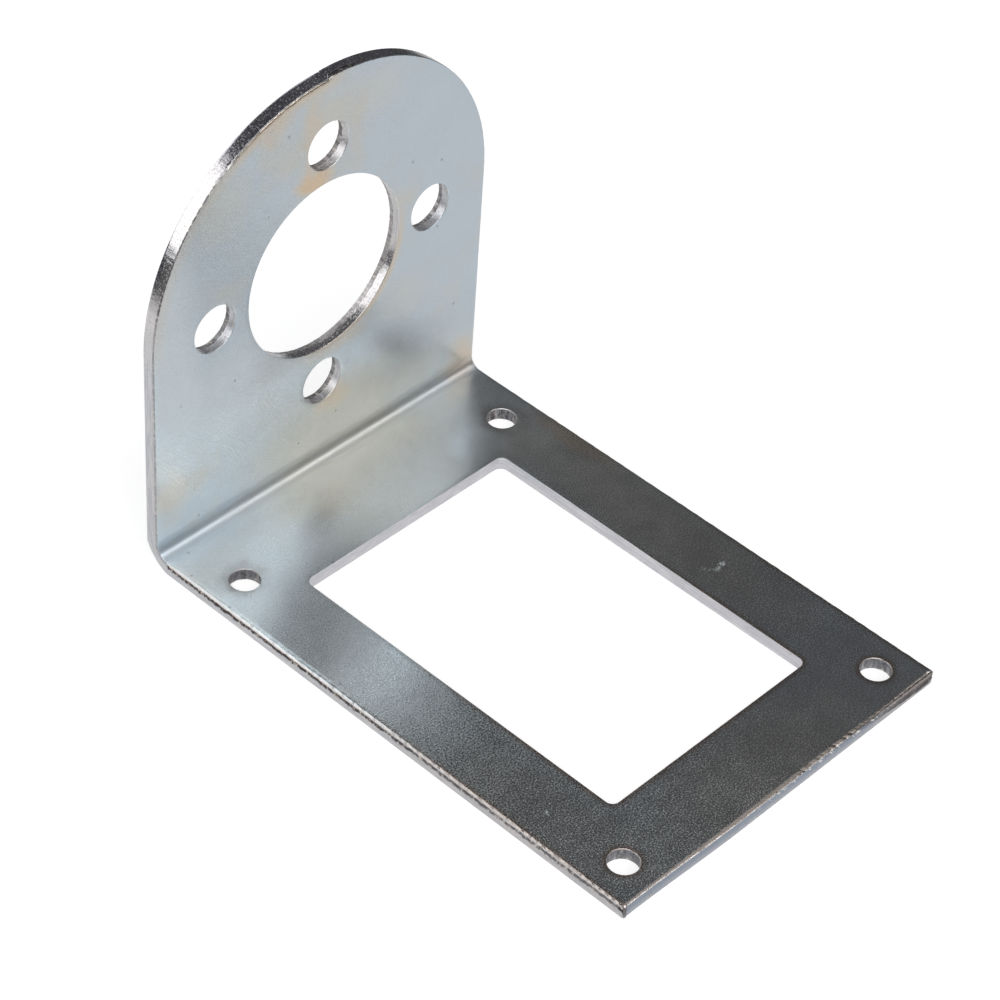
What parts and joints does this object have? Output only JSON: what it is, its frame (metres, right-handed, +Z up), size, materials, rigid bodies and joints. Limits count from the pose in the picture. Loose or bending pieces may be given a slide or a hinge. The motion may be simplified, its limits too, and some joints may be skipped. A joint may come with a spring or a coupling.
{
  "type": "motor mounting bracket",
  "caption": "Folded zinc-plated steel L bracket: a base with a rectangular window and corner fixing holes, and a round-topped upright with a central bore inside a ring of motor screw holes.",
  "frame": {"origin": "middle of the bounding box on the underside of the base, which rests on the surface", "axes": "+Z up; +X across the width of the strip; +Y from the free end of the base towards the upright; the motor's axis runs along Y"},
  "size_m": [0.042, 0.061, 0.0459],
  "materials": {
    "zinc_plated_steel": "bright zinc plate over cold-rolled sheet, fine satin grain, punched and sheared edges"
  },
  "bodies": {
    "root": {"motor_bracket": "zinc_plated_steel"}
  },
  "joints": []
}
